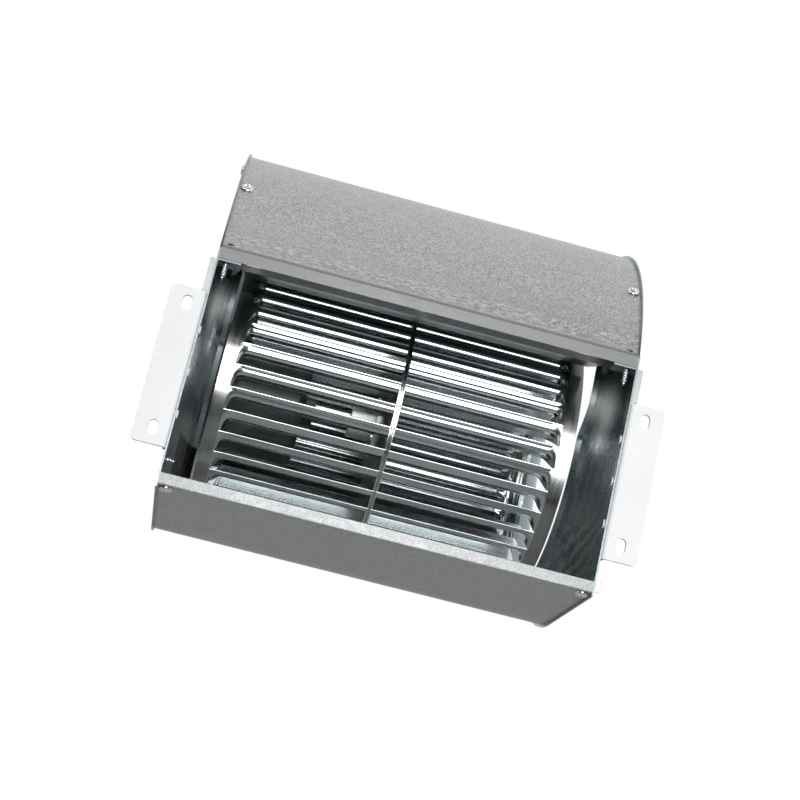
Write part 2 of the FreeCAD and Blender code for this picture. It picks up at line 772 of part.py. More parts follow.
# Blade drums: one strip each, its plain edges as hoops, its blades folded inward
rim_r = size("WheelRadius")
strip = size("StripGauge")
disc_r = rim_r - strip - size("BoreFit")
seam = strip / 2
hoop_end = size("DiscRim") / 2
drum = doc.addObject("PartDesign::Body", "BladeDrum")
place(drum, y=axis_y, z=axis_z)
hoops = sketch_on(drum, "XY_Plane", "Hoops")
for start, end in ((seam, size("DiscRim")), (size("DrumReach"), size("DrumReach") + size("HoopWidth"))):
    draw(hoops, [(start, rim_r - strip), (end, rim_r - strip), (end, rim_r), (start, rim_r)])
hoop_spin = drum.newObject("PartDesign::Revolution", "HoopSpin")
hoop_spin.Profile = hoops
hoop_spin.ReferenceAxis = (hoops, ["H_Axis"])
hoop_spin.Angle = 360.0
# Blade section seen along X: level flap from inside, fold, then a tip that rises to the axis level.
# The blades start beyond the disc's rim.
tip = strip / 2
fold = size("FoldRadius")
fold_r = rim_r - tip - strip / 4
fold_centre = (fold - fold_r, -size("TipLand"))
low_z = fold_centre[1] - fold
blade_start = hoop_end + size("SeamGap")
blade = sketch_on(drum, "YZ_Plane", "BladeSection", blade_start)
draw(blade, [
    (-size("BladeInner"), low_z + tip),
    (-size("BladeInner"), low_z - tip),
    (fold_centre[0], low_z - tip),
    (-fold_r - tip, fold_centre[1], fold + tip, fold_centre),
    (-fold_r + tip, 0.0),
    (-fold_r + 3 * tip, 0.0),
    (-fold_r + tip, fold_centre[1]),
    (fold_centre[0], low_z + tip, fold - tip, fold_centre),
])
blade_pad = drum.newObject("PartDesign::Pad", "BladePad")
blade_pad.Profile = blade
bind(blade_pad, {"Length": size("DrumReach") + size("HoopWidth") / 2 - blade_start})
row = drum.newObject("PartDesign::PolarPattern", "BladeRow")
row.Originals = [blade_pad]
row.Axis = (plane(drum, "X_Axis"), [""])
row.Angle = 360.0
bind(row, {"Occurrences": size("BladeCount")})
drum.Tip = row
drum.Placement = Placement(Vector(0, axis_y, axis_z), Rotation(Vector(1, 0, 0), -size("FirstBlade")))
drum_right = keep(drum, "blade_drum_right")
keep(mirrored("BladeDrumLeft", drum_right), "blade_drum_left")

# End rings: a hoop over each drum's outer edge with a lip turned inward
ring_r = rim_r + size("RingGauge") + size("BoreFit")
ring_in = rim_r + size("BoreFit")
ring_end = size("DrumReach") + size("RingWidth")
ring_web = ring_end - size("RingGauge")
ring = turned("EndRing", [
    (size("DrumReach"), ring_in), (ring_web, ring_in), (ring_web, ring_r - size("RingLip")),
    (ring_end, ring_r - size("RingLip")), (ring_end, ring_r), (size("DrumReach"), ring_r)])
place(ring, y=axis_y, z=axis_z)
keep(ring, "end_ring_right")
keep(mirrored("EndRingLeft", ring), "end_ring_left")

# Centre disc with a folded rim and a pressed step round the hub
disc_half = size("DiscGauge") / 2
dish = size("DishDepth")
dish_end = size("DishRadius") - 2 * dish
disc_hole = size("HubRadius") - size("HubFlangeWidth")
disc_body = turned("Disc", [
    (disc_half - dish, disc_hole), (disc_half - dish, dish_end), (disc_half, size("DishRadius")),
    (disc_half, disc_r - size("DiscGauge")), (hoop_end, disc_r - size("DiscGauge")), (hoop_end, disc_r),
    (-hoop_end, disc_r), (-hoop_end, disc_r - size("DiscGauge")),
    (-disc_half, disc_r - size("DiscGauge")), (-disc_half, size("DishRadius")),
    (-disc_half - dish, dish_end), (-disc_half - dish, disc_hole)])
place(disc_body, y=axis_y, z=axis_z)

# Hub: flange against the disc, barrel with a bore and a set screw
bore = size("ShaftRadius") + size("BoreFit")
hub_face = -disc_half - dish
hub_body = turned("Hub", [
    (hub_face, bore), (hub_face, size("HubFlange")),
    (hub_face - size("HubFlangeWidth"), size("HubFlange")),
    (hub_face - size("HubFlangeWidth"), size("HubRadius")),
    (hub_face - size("HubLength"), size("HubRadius")), (hub_face - size("HubLength"), bore)])
place(hub_body, y=axis_y, z=axis_z)
set_x = hub_face - size("SetScrewPlace")
set_length = size("HubRadius") - bore
set_hole = cylinder("SetHole", size("SetScrewRadius") + size("BoreFit"), size("HubRadius") * 1.5,
                    x=set_x, y=axis_y, z=axis_z)
set_screw = cylinder("SetScrew", size("SetScrewRadius"), set_length, x=set_x, y=axis_y, z=axis_z + bore)
keep(set_screw, "hub_set_screw")

rivet_holes = []
rivets = []
rivet_r = size("HubRivetRadius")
rivet_head = size("HubRivetHead")
rivet_cap = size("HubRivetHeight")
rivet_start = hub_face - size("HubFlangeWidth")
rivet_grip = size("HubFlangeWidth") + size("DiscGauge")
for quarter in range(4):
    turn = 45.0 + 90.0 * quarter
    where = {"y": axis_y + size("HubRivetCircle") * cos(radians(turn)),
             "z": axis_z + size("HubRivetCircle") * sin(radians(turn)), "turn": ALONG_X}
    rivet_holes.append(cylinder(f"RivetHole{quarter}", rivet_r + size("BoreFit"),
                                rivet_grip * 2, x=rivet_start - rivet_grip / 2, **where))
    rivets.append(fuse(f"Rivet{quarter}", [
        cylinder(f"RivetStem{quarter}", rivet_r, rivet_grip, x=rivet_start, **where),
        cylinder(f"RivetBack{quarter}", rivet_head, rivet_cap, x=rivet_start - rivet_cap, **where),
        cylinder(f"RivetFront{quarter}", rivet_head, rivet_cap, x=rivet_start + rivet_grip, **where),
    ]))
hub_tools = group("RivetHoles", rivet_holes)
keep(cut("DiscCut", disc_body, hub_tools), "centre_disc")
keep(cut("HubCut", hub_body, group("HubTools", [hub_tools, set_hole])), "hub")
keep(group("HubRivets", rivets), "hub_rivets")

# Motor: round body in the left inlet, its nose towards the hub, a cap at its outer end
motor_r = size("MotorRadius")
cap_out = -half_width
cap_in = cap_out + size("CapWidth")
motor_in = -size("MotorInner")
nose_r = size("MotorNose")
nose_in = motor_in + nose_r / 2
soft = size("MotorEdge")
socket_end = motor_in - size("MotorSocket")
motor = turned("Motor", [
    (cap_in, 0.0), (cap_in, motor_r - size("CapStep")), (cap_in + soft, motor_r - size("CapStep")),
    (cap_in + soft, motor_r),
    (motor_in - soft, motor_r),
    (motor_in, motor_r - soft, soft, (motor_in - soft, motor_r - soft)),
    (motor_in, nose_r), (nose_in, nose_r), (nose_in, bore + size("BoreFit")),
    (socket_end, bore + size("BoreFit")), (socket_end, 0.0)])
place(motor, y=axis_y, z=axis_z)
keep(motor, "motor_body")
cap = turned("Cap", [
    (cap_out, 0.0), (cap_out, motor_r - soft),
    (cap_out + soft, motor_r, soft, (cap_out + soft, motor_r - soft)),
    (cap_in, motor_r), (cap_in, 0.0)])
place(cap, y=axis_y, z=axis_z)

shaft_end = socket_end + size("ShaftPast")
shaft_length = size("ShaftPast") - shaft_end
keep(cylinder("Shaft", size("ShaftRadius"), shaft_length, x=shaft_end, y=axis_y, z=axis_z,
              turn=ALONG_X), "motor_shaft")

# Spider: round middle on the motor cap and three arms to the left side plate
spider = size("SpiderGauge")
spider_x = -half_width - spider
arm_half = size("SpiderArm") / 2
spider_parts = [cylinder("SpiderMiddle", size("SpiderRing"), spider, x=spider_x, y=axis_y,
                         z=axis_z, turn=ALONG_X)]
foot_holes = []
motor_circle = size("SpiderRing") - size("ScrewHead") * 2
motor_screws = []
for number, (angle, reach) in enumerate(SPIDER_ARMS):
    foot_y, foot_z = arm_end(angle, reach)
    side = (sin(radians(angle)), -cos(radians(angle)))
    spider_parts.append(box(
        f"SpiderArm{number}", spider, reach, size("SpiderArm"), x=spider_x,
        y=axis_y + arm_half * side[0], z=axis_z + arm_half * side[1],
        turn=Rotation(Vector(1, 0, 0), angle)))
    spider_parts.append(cylinder(f"SpiderFoot{number}", size("SpiderFoot"), spider, x=spider_x,
                                 y=foot_y, z=foot_z, turn=ALONG_X))
    foot_holes.append(cylinder(f"FootHole{number}", size("ScrewRadius") + fit, spider * 3,
                               x=spider_x - spider, y=foot_y, z=foot_z, turn=ALONG_X))
    near_y = axis_y + motor_circle * cos(radians(angle))
    near_z = axis_z + motor_circle * sin(radians(angle))
    foot_holes.append(cylinder(f"NearHole{number}", size("ScrewRadius") + fit, size("CapWidth"),
                               x=spider_x - spider, y=near_y, z=near_z, turn=ALONG_X))
    motor_screws.append((near_y, near_z, foot_y, foot_z))
foot_tools = group("SpiderHoles", foot_holes)
keep(cut("SpiderCut", fuse("SpiderPlate", spider_parts), foot_tools), "motor_spider")
keep(cut("CapCut", cap, foot_tools), "motor_end_cap")


def screw(name, length, x, y, z, turn):
    """Pan-headed screw: its head above the seat at the position, its shank below it."""
    head = cylinder(name + "Head", size("ScrewHead"), size("ScrewHeadHeight"))
    shank = cylinder(name + "Shank", size("ScrewRadius"), length - size("ScrewRadius"),
                     z=size("ScrewRadius") - length)
    point = doc.addObject("Part::Cone", name + "Point")
    bind(point, {"Radius1": size("ScrewRadius") / 3, "Radius2": size("ScrewRadius"),
                 "Height": size("ScrewRadius")})
    place(point, z=-length)
    whole = fuse(name, [head, shank, point])
    place(whole, x=x, y=y, z=z, turn=turn)
    return whole


short = size("ShortScrew")
seat_y, seat_z = cover_screw_place(size("TopRadius") - proud + fit)
lean = Rotation(Vector(1, 0, 0), float(cover_screw_turn) - 90)
cover_screw = screw("CoverScrew", short, corner_x, seat_y, seat_z, lean)
keep(group("CoverScrews", [cover_screw, mirrored("CoverScrewLeft", cover_screw)]), "cover_screws")
upper_screw = screw("UpperScrew", size("ScrewLength"), corner_x, corner_y, lip_base + wrap, Rotation())
keep(group("UpperScrews", [upper_screw, mirrored("UpperScrewLeft", upper_screw)]),
     "upper_corner_screws")
flipped = Rotation(Vector(1, 0, 0), 180)
lower_screw = screw("LowerScrew", short, corner_x, corner_y, floor_front - wrap - 3 * fit, flipped)
keep(group("LowerScrews", [lower_screw, mirrored("LowerScrewLeft", lower_screw)]),
     "lower_corner_screws")
outward = Rotation(Vector(0, 1, 0), -90)
foot_screws = []
cap_screws = []
for number, (near_y, near_z, foot_y, foot_z) in enumerate(motor_screws):
    foot_screws.append(screw(f"FootScrew{number}", short, spider_x, foot_y, foot_z, outward))
    cap_screws.append(screw(f"CapScrew{number}", short, spider_x, near_y, near_z, outward))
keep(group("FootScrews", foot_screws), "spider_foot_screws")
keep(group("CapScrews", cap_screws), "motor_screws")

doc.recompute()
for thing in doc.Objects:
    if "Invalid" in thing.State or "Error" in thing.State:
        raise RuntimeError(f"{thing.Name} did not recompute: {thing.State}")
for node in nodes:
    if node.Shape.isNull() or not node.Shape.isValid():
        raise RuntimeError(f"{node.Label} has no valid shape")
os.makedirs("parts", exist_ok=True)
for node in nodes:
    node.Shape.exportStep(f"parts/{node.Label}.step")
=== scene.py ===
"""Dressed double-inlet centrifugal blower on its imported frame.

The housing, brackets, rings, disc, hub and motor keep their shapes from the frame and get sheet,
strip, turned, painted and cast finishes. The blade drums and the screws are made again with more
detail. Lengths are metres unless a name ends in _mm, and angles are radians unless said otherwise.
"""

import json
import logging
import math
from dataclasses import dataclass
from enum import Enum
from typing import Iterable, Sequence

import bmesh
import bpy
import numpy as np
from mathutils import Matrix, Vector


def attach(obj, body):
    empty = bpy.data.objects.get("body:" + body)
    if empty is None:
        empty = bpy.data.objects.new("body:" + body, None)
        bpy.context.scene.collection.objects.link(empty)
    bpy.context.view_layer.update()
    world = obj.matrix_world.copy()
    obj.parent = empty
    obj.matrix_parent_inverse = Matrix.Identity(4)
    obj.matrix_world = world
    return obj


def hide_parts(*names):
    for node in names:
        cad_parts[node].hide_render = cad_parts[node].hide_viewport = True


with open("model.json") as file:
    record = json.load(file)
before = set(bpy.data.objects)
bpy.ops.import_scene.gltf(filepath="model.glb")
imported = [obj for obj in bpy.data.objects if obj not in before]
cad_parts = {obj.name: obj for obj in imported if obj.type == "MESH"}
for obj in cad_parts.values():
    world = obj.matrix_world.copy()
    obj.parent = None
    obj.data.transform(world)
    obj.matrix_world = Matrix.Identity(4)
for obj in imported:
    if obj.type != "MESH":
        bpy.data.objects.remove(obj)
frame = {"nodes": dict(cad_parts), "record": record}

logging.basicConfig(level=logging.INFO, format="%(message)s")
log = logging.getLogger("blower")

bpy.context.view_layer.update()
MM = 0.001
WHITE = (1.0, 1.0, 1.0, 1.0)
HOUSING = "housing"
WHEEL = "wheel"
AXIS = Vector(frame["record"]["behaviour"]["joints"][0]["pos_m"])


class Side(Enum):
    """The two halves of the blower, by the sign of their X."""

    LEFT = -1
    RIGHT = 1


class Value:
    """Socket of a shader graph that can be written in sums, products and differences."""

    def __init__(self, graph: "Graph", socket: bpy.types.NodeSocket) -> None:
        """Keeps the socket and the graph it belongs to.

        Args:
            graph: Graph that adds the nodes of an expression.
            socket: Output socket that the value is read from.
        """
        self.graph = graph
        self.socket = socket

    def __add__(self, other: "Value | float") -> "Value":
        """This value plus another."""
        return self.graph.math("ADD", self, other)

    def __radd__(self, other: float) -> "Value":
        """A number plus this value."""
        return self.graph.math("ADD", other, self)

    def __sub__(self, other: "Value | float") -> "Value":
        """This value less another."""
        return self.graph.math("SUBTRACT", self, other)

    def __rsub__(self, other: float) -> "Value":
        """A number less this value."""
        return self.graph.math("SUBTRACT", other, self)

    def __mul__(self, other: "Value | float") -> "Value":
        """This value times another."""
        return self.graph.math("MULTIPLY", self, other)

    def __truediv__(self, other: "Value | float") -> "Value":
        """This value divided by another."""
        return self.graph.math("DIVIDE", self, other)

    def __abs__(self) -> "Value":
        """Size of this value without its sign."""
        return self.graph.math("ABSOLUTE", self)

    def step(self, low: float, high: float) -> "Value":
        """Smooth rise from 0 at low to 1 at high.

        Args:
            low: Value at which the result leaves 0.
            high: Value at which the result reaches 1.

        Returns:
            The smoothed value; it falls instead where low is over high.
        """
        ends = (low, high, 0.0, 1.0) if low < high else (high, low, 1.0, 0.0)
        return self.graph.make(
            "ShaderNodeMapRange",
            {"interpolation_type": "SMOOTHSTEP"},
            {"Value": self, "From Min": ends[0], "From Max": ends[1], "To Min": ends[2], "To Max": ends[3]},
        )


class Graph:
    """Node tree of one material or of the world."""

    def __init__(self, tree: bpy.types.NodeTree) -> None:
        """Empties the tree for new nodes.

        Args:
            tree: Node tree to fill.
        """
        self.tree = tree
        tree.nodes.clear()

    def node(self, kind: str, settings: dict | None = None, inputs: dict | None = None) -> bpy.types.Node:
        """Adds one node.

        Args:
            kind: Type name of the node.
            settings: Properties, set before the sockets.
            inputs: Socket name or number to a Value, a number or a tuple.

        Returns:
            The new node.
        """
        made = self.tree.nodes.new(kind)
        for name, setting in (settings or {}).items():
            setattr(made, name, setting)
        for key, value in (inputs or {}).items():
            self.feed(made.inputs[key], value)
        return made

    def feed(self, socket: bpy.types.NodeSocket, value: "Value | float | tuple") -> None:
        """Links a value to a socket, or sets the socket's own number.

        Args:
            socket: Input socket.
            value: What it gets.
        """
        if isinstance(value, Value):
            self.tree.links.new(value.socket, socket)
        else:
            socket.default_value = value

    def make(self, kind: str, settings: dict | None = None, inputs: dict | None = None,
             output: int | str = 0) -> Value:
        """Adds a node and returns one of its outputs as a value."""
        return Value(self, self.node(kind, settings, inputs).outputs[output])

    def math(self, operation: str, first: "Value | float", second: "Value | float" = 0.0) -> Value:
        """Result of a Math node on two numbers."""
        return self.make("ShaderNodeMath", {"operation": operation}, {0: first, 1: second})

    def most(self, *values: "Value | float") -> Value:
        """The largest of several values."""
        result = values[0]
        for value in values[1:]:
            result = self.math("MAXIMUM", result, value)
        return result

    def reach(self, first: Value, second: Value) -> Value:
        """Root of the sum of two squares."""
        return self.math("SQRT", first * first + second * second)

    def place(self, scale: Sequence[float] = (1.0, 1.0, 1.0),
              about: Sequence[float] = (0.0, 0.0, 0.0)) -> Value:
        """Object coordinates about a point, stretched along the three directions.

        Args:
            scale: Factors along X, Y and Z.
            about: Point that becomes the origin.

        Returns:
            The coordinates as a vector value.
        """
        spot = self.make("ShaderNodeTexCoord", output="Object")
        moved = self.make("ShaderNodeVectorMath", {"operation": "SUBTRACT"}, {0: spot, 1: tuple(about)})
        return self.make("ShaderNodeVectorMath", {"operation": "MULTIPLY"}, {0: moved, 1: tuple(scale)})

    def parts(self, vector: Value) -> tuple[Value, Value, Value]:
        """The three components of a vector value."""
        split = self.node("ShaderNodeSeparateXYZ", inputs={0: vector})
        return tuple(Value(self, socket) for socket in split.outputs)

    def noise(self, vector: Value, scale: float, detail: float = 3.0, rough: float = 0.55) -> Value:
        """Even noise between about 0.3 and 0.7."""
        return self.make("ShaderNodeTexNoise", {"noise_dimensions": "3D"},
                         {"Vector": vector, "Scale": scale, "Detail": detail, "Roughness": rough})

    def cells(self, vector: Value, scale: float) -> Value:
        """One even grey for each crystal of a spangled coating."""
        colour = self.make("ShaderNodeTexVoronoi", {"feature": "F1"}, {"Vector": vector, "Scale": scale},
                           output="Color")
        return self.make("ShaderNodeSeparateColor", inputs={0: colour})

    def normal(self) -> tuple[Value, Value, Value]:
        """The three components of the surface's normal."""
        return self.parts(self.make("ShaderNodeNewGeometry", output="Normal"))

    def blend(self, factor: "Value | float", first: "Value | tuple", second: "Value | tuple") -> Value:
        """Mixes two colours.

        Args:
            factor: Share of the second colour.
            first: Colour at 0.
            second: Colour at 1.

        Returns:
            The mixed colour.
        """
        return self.make("ShaderNodeMix", {"data_type": "RGBA"},
                         {0: factor, 6: first, 7: second}, output=2)

    def bump(self, height: Value, distance: float, strength: float) -> Value:
        """Normal of a surface raised by a height."""
        return self.make("ShaderNodeBump",
                         inputs={"Height": height, "Distance": distance, "Strength": strength})

    def finish(self, **sockets: "Value | float | tuple") -> None:
        """Closes a material with one Principled shader.

        Args:
            sockets: Socket names with underscores for spaces, and what they get.
        """
        inputs = {name.replace("_", " "): value for name, value in sockets.items()}
        shader = self.make("ShaderNodeBsdfPrincipled", inputs=inputs)
        self.node("ShaderNodeOutputMaterial", inputs={"Surface": shader})

    def finish_white(self, colour: Value) -> None:
        """Closes a backdrop material: matt in this colour, but white as the camera sees it."""
        matt = self.make("ShaderNodeBsdfPrincipled", inputs={"Base Color": colour, "Roughness": 0.9})
        white = self.make("ShaderNodeEmission", inputs={"Color": WHITE, "Strength": 1.0})
        seen = self.make("ShaderNodeLightPath", output="Is Camera Ray")
        shader = self.make("ShaderNodeMixShader", inputs={0: seen, 1: matt, 2: white})
        self.node("ShaderNodeOutputMaterial", inputs={"Surface": shader})


def grey(level: float, tint: Sequence[float] = (0.0, 0.0, 0.0)) -> tuple[float, float, float, float]:
    """Colour of a grey level with a small tint added."""
    return (level + tint[0], level + tint[1], level + tint[2], 1.0)


def material(name: str) -> tuple[bpy.types.Material, Graph]:
    """A new node material and its graph."""
    made = bpy.data.materials.new(name)
    made.use_nodes = True
    return made, Graph(made.node_tree)


def shades(tone: float, less: float, more: float, tint: Sequence[float]) -> tuple[tuple, tuple]:
    """Darker and lighter colour about a tone.

    Args:
        tone: Grey level in the middle.
        less: Factor of the darker grey.
        more: Factor of the lighter grey, which ends at white.
        tint: Small tint added to both.

    Returns:
        The two colours.
    """
    return grey(tone * less, tint), grey(min(1.0, tone * more), tint)


Ramp = tuple[float, float]
Triple = tuple[float, float, float]


@dataclass(frozen=True)
class Zones:
    """Ramps that bound the marks on the metal: where each leaves 0 and where it reaches 1.

    A side is measured along X; a depth, front or rear along Y; a height, top or foot along Z. Those of
    the creases and of the painted shade are counted from the wheel's axis.
    """

    off_floor: Ramp = (0.012, 0.03)
    lip_height: Ramp = (0.1375, 0.135)
    lip_depth: Ramp = (0.006, 0.003)
    painted_sheen_height: Ramp = (0.172, 0.142)
    painted_sheen_side: Ramp = (0.14, -0.1)
    ear_side: Ramp = (0.1238, 0.1243)
    ear_depth: Ramp = (0.004, 0.002)
    rim_radius: Ramp = (0.0765, 0.0775)
    facing: Ramp = (0.0, -0.01)
    edge_normal: Ramp = (0.5, 0.2)
    crease_top: Ramp = (-0.045, -0.07)
    crease_foot: Ramp = (-0.1, -0.088)
    crease_rear: Ramp = (-0.04, -0.075)
    crease_front: Ramp = (-0.135, -0.12)
    crease_side: Ramp = (0.108, 0.111)
    painted_highlight_side: Ramp = (0.104, 0.108)
    painted_shade_outer: Ramp = (-0.1205, -0.1195)
    painted_shade_inner: Ramp = (-0.09, -0.1)
    painted_shade_height: Ramp = (-0.056, -0.058)
    painted_shade_depth: Ramp = (-0.02, -0.04)
    rub_foot: Ramp = (0.136, 0.1385)
    rub_top: Ramp = (0.1485, 0.144)
    rub_depth: Ramp = (0.012, 0.008)
    rub_gaps: Ramp = (0.51, 0.58)
    near_disc_side: Ramp = (0.0006, 0.0004)


@dataclass(frozen=True)
class Marks:
    """Grey of each mark on the metal (painted light and shade among them), the most that it covers, and its
    own measures.
    """

    # Painted highlight on the shoulder of each inlet
    painted_highlight: float = 0.85
    painted_highlight_cover: float = 0.9
    painted_highlight_middle: tuple[float, float] = (0.034, 0.108)
    painted_highlight_half: tuple[float, float] = (0.02, 0.026)
    ears: float = 0.4
    # Painted shade low on the left inlet
    recess: float = 0.012
    painted_shade_tint: Triple = (0.0, 0.004, 0.006)
    # Painted sheen over the cover's bend
    painted_sheen: float = 0.72
    painted_sheen_cover: float = 0.08
    painted_sheen_slope: float = 0.2
    # Painted shade on the cover's lip
    lip: float = 0.2
    lip_shade_cover: float = 0.9
    # Tool rubs, pale enough to paint the highlight along the bend
    rubs_and_highlight: float = 0.86
    rub_and_highlight_cover: float = 0.7
    rub_scale: Triple = (220.0, 30.0, 1300.0)
    # Cut edges, dark enough to paint a shadow along them
    edges: float = 0.16
    rim: float = 0.7
    # Painted shade on the inner walls and painted light on the inner floor
    inner: float = 0.2
    inner_shade_cover: float = 0.6
    inner_floor_painted_light: float = 0.9
    crease_line: tuple[float, float] = (200.0, 640.0)
    crease_wander: float = 7.0
    crease_scale: Triple = (30.0, 60.0, 60.0)
    crease_height: float = 90.0
    seam: float = 0.12


ZONES = Zones()
MARKS = Marks()


@dataclass(frozen=True)
class Galvanised:
    """Zinc-coated sheet: fine crystals, cloudy tone, faint rolling lines, and marks of its piece with
    painted light and shade.
    """

    name: str
    tone: float
    rough: float = 0.36
    crystal_scale: float = 420.0
    cloud_scale: float = 22.0
    grain_scale: float = 1000.0
    rolling: Triple = (8.0, 900.0, 900.0)
    contrast: float = 0.1
    speckle: float = 0.5
    metal: float = 1.0
    creases_and_painted_light: bool = False
    bend_marks_and_painted_light: bool = False
    cut_edges_and_painted_shadow: bool = False
    painted_light_and_shade_inside: bool = False
    bright_rim: bool = False
    bump_depth: float = 0.00004
    relief: float = 0.55
    spread: float = 0.24
    tint: Triple = (-0.008, 0.002, 0.006)

    def build(self) -> bpy.types.Material:
        """Colour is the tone times one plus crystals, clouds and grain; roughness follows the clouds.

        The marks of the piece, painted highlights and painted shade among them, are laid over it one after
        another.
        """
        made, graph = material(self.name)
        spot = graph.place()
        crystals = graph.cells(spot, self.crystal_scale) - 0.5
        clouds = graph.noise(spot, self.cloud_scale, 2.0) - 0.5
        grain = graph.noise(spot, self.grain_scale, 2.0, 0.7) - 0.5
        rolled = graph.noise(graph.place(self.rolling), 1.0, 2.0) - 0.5
        change = crystals * self.contrast + clouds * 0.18 + grain * self.speckle + rolled * 0.05
        share = (change + 0.5).step(0.2, 0.8)
        colour = graph.blend(share, *shades(self.tone, 1.0 - self.spread, 1.0 + self.spread, self.tint))
        height = crystals * 0.25 + grain * 0.7
        rough = self.rough + clouds * 0.18 + grain * 0.1 - crystals * 0.06
        metal = self.metal
        # Real creases as bumps, with a painted highlight and painted shade on the inlets
        if self.creases_and_painted_light:
            height = height + self.creases(graph) * MARKS.crease_height
            # Painted highlight: pale, less metallic patch on the shoulder of each inlet
            painted_highlight = self.painted_highlight(graph)
            colour = graph.blend(painted_highlight, colour, grey(MARKS.painted_highlight))
            rough = rough + painted_highlight * 0.1
            metal = metal - painted_highlight * 0.7
            colour = graph.blend(self.ears(graph), colour, grey(MARKS.ears))
            # Painted shade: near-black patch low on the left inlet
            colour = graph.blend(self.recess(graph), colour, grey(MARKS.recess, MARKS.painted_shade_tint))
        # Painted sheen and painted shade on the cover, and tool rubs that also paint the highlight along the
        # bend
        if self.bend_marks_and_painted_light:
            rubs_and_highlight = self.rubs_and_highlight(graph)
            # Painted sheen over the cover's bend
            colour = graph.blend(self.painted_sheen(graph), colour, grey(MARKS.painted_sheen))
            # Painted shade on the cover's upright lip
            colour = graph.blend(self.lip(graph), colour, grey(MARKS.lip))
            # Tool rubs, pale enough to paint the highlight along the bend
            colour = graph.blend(rubs_and_highlight, colour, grey(MARKS.rubs_and_highlight))
            rough = rough - rubs_and_highlight * 0.12
        if self.cut_edges_and_painted_shadow:
            # Cut edges: bare steel, dark enough to paint a shadow along the brackets' edges
            colour = graph.blend(self.edges(graph), colour, grey(MARKS.edges))
        if self.bright_rim:
            rim = self.rim(graph)
            colour = graph.blend(rim, colour, grey(MARKS.rim))
            rough = rough - rim * 0.2
        if self.painted_light_and_shade_inside:
            inside = self.inside(graph)
            rough = rough - inside * 0.25
            above = self.above(graph)
            metal = inside * (above * 0.9 + (0.1 - metal)) + metal
            # Painted shade on the inner walls
            colour = graph.blend(inside * above * MARKS.inner_shade_cover, colour, grey(MARKS.inner))
            # Painted light: the inner floor sheet made pale as if lit
            colour = graph.blend(inside * (1.0 - above), colour, grey(MARKS.inner_floor_painted_light))
        graph.finish(Base_Color=colour, Metallic=metal, Roughness=rough,
                     Normal=graph.bump(height, self.bump_depth, self.relief))
        return made

    def above(self, graph: Graph) -> Value:
        """One above the floor sheet, nought on it."""
        return graph.parts(graph.place())[2].step(*ZONES.off_floor)

    def lip(self, graph: Graph) -> Value:
        """Share of the painted shade, a dark grey, on the upright lip of the cover, under its bend."""
        _, y, z = graph.parts(graph.place())
        return z.step(*ZONES.lip_height) * y.step(*ZONES.lip_depth) * MARKS.lip_shade_cover

    def painted_sheen(self, graph: Graph) -> Value:
        """Painted sheen: paler band of the cover over its bend, stronger towards the left."""
        x, _, z = graph.parts(graph.place())
        cover = x.step(*ZONES.painted_sheen_side) * MARKS.painted_sheen_slope + MARKS.painted_sheen_cover
        return z.step(*ZONES.painted_sheen_height) * cover

    def ears(self, graph: Graph) -> Value:
        """One on the outward flanges of the front edges."""
        x, y, _ = graph.parts(graph.place())
        return abs(x).step(*ZONES.ear_side) * y.step(*ZONES.ear_depth)

    def rim(self, graph: Graph) -> Value:
        """One on the rim of a disc about the wheel's axis."""
        _, y, z = graph.parts(graph.place(about=AXIS))
        return graph.reach(y, z).step(*ZONES.rim_radius)

    def inside(self, graph: Graph) -> Value:
        """One on faces that look towards the wheel's axis, from the dot of their normal and place."""
        out = [one * two for one, two in zip(graph.normal(), graph.parts(graph.place(about=AXIS)))]
        return (out[1] + out[2]).step(*ZONES.facing)

    def creases(self, graph: Graph) -> Value:
        """Slanting folds low on the right drawn inlet, where the sheet gathered.

        The height is a wave of the distance along a slanted line, bent by noise, and it is kept to
        the lower front of the drawn surface.
        """
        x, y, z = graph.parts(graph.place(about=AXIS))
        wander = graph.noise(graph.place(MARKS.crease_scale), 1.0, 2.0) - 0.5
        along, up = MARKS.crease_line
        wave = graph.math("SINE", y * along + z * up + wander * MARKS.crease_wander)
        low = z.step(*ZONES.crease_top) * z.step(*ZONES.crease_foot)
        front = y.step(*ZONES.crease_rear) * y.step(*ZONES.crease_front)
        return wave * low * front * x.step(*ZONES.crease_side)

    def painted_highlight(self, graph: Graph) -> Value:
        """Painted highlight: a pale, less metallic patch on the shoulder of each drawn inlet, near the
        outlet.

        It is one less the distance from its middle, in its own half widths, on inner faces alone.
        """
        x, y, z = graph.parts(graph.place())
        deep = (y - MARKS.painted_highlight_middle[0]) / MARKS.painted_highlight_half[0]
        along = (z - MARKS.painted_highlight_middle[1]) / MARKS.painted_highlight_half[1]
        inner = (graph.normal()[0] * x).step(*ZONES.facing)
        patch = graph.reach(along, deep).step(1.0, 0.0)
        return patch * abs(x).step(*ZONES.painted_highlight_side) * inner * MARKS.painted_highlight_cover

    def recess(self, graph: Graph) -> Value:
        """Painted shade: a near-black patch low on the left inlet, right of its slanted edge and below its
        round corner.
        """
        x, y, z = graph.parts(graph.place(about=AXIS))
        across = x.step(*ZONES.painted_shade_outer) * x.step(*ZONES.painted_shade_inner)
        return across * z.step(*ZONES.painted_shade_height) * y.step(*ZONES.painted_shade_depth)

    def edges(self, graph: Graph) -> Value:
        """One on the cut edges, whose normals lie in the sheet's front plane: bare steel, dark enough to
        paint a shadow along them.
        """
        return abs(graph.normal()[1]).step(*ZONES.edge_normal)

